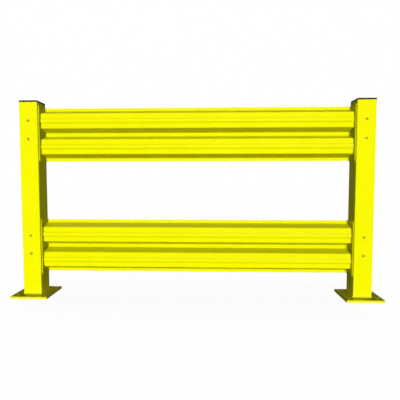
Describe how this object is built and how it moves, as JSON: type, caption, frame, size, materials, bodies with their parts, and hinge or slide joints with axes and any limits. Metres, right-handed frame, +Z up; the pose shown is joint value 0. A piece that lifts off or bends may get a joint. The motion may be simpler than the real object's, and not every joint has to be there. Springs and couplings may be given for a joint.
{
  "type": "industrial guardrail",
  "caption": "Double-height floor-mounted guardrail bay: ribbed steel rails bolted between square posts on anchor plates.",
  "frame": {"origin": "on the floor, midway between the two posts, on the posts' centre line", "axes": "+X along the rails, +Z up; the ribbed face of the rails looks towards -Y and the rear legs of the brackets and the nuts towards +Y"},
  "size_m": [2.0322, 0.2032, 1.0892],
  "materials": {
    "yellow_coat": "glossy powder coat",
    "black_plastic": "fine moulded grain",
    "zinc_hardware": "zinc plated"
  },
  "bodies": {
    "root": {"post_left": "yellow_coat", "post_right": "yellow_coat", "base_plate_left": "yellow_coat", "base_plate_right": "yellow_coat", "upper_rail": "yellow_coat", "lower_rail": "yellow_coat", "bracket_upper_left": "yellow_coat", "bracket_upper_right": "yellow_coat", "bracket_lower_left": "yellow_coat", "bracket_lower_right": "yellow_coat", "cap_left": "black_plastic", "cap_right": "black_plastic", "bolts_upper_left": "zinc_hardware", "bolts_upper_right": "zinc_hardware", "bolts_lower_left": "zinc_hardware", "bolts_lower_right": "zinc_hardware", "washers_upper_left": "zinc_hardware", "washers_upper_right": "zinc_hardware", "washers_lower_left": "zinc_hardware", "washers_lower_right": "zinc_hardware", "nuts_upper_left": "zinc_hardware", "nuts_upper_right": "zinc_hardware", "nuts_lower_left": "zinc_hardware", "nuts_lower_right": "zinc_hardware"}
  },
  "joints": []
}
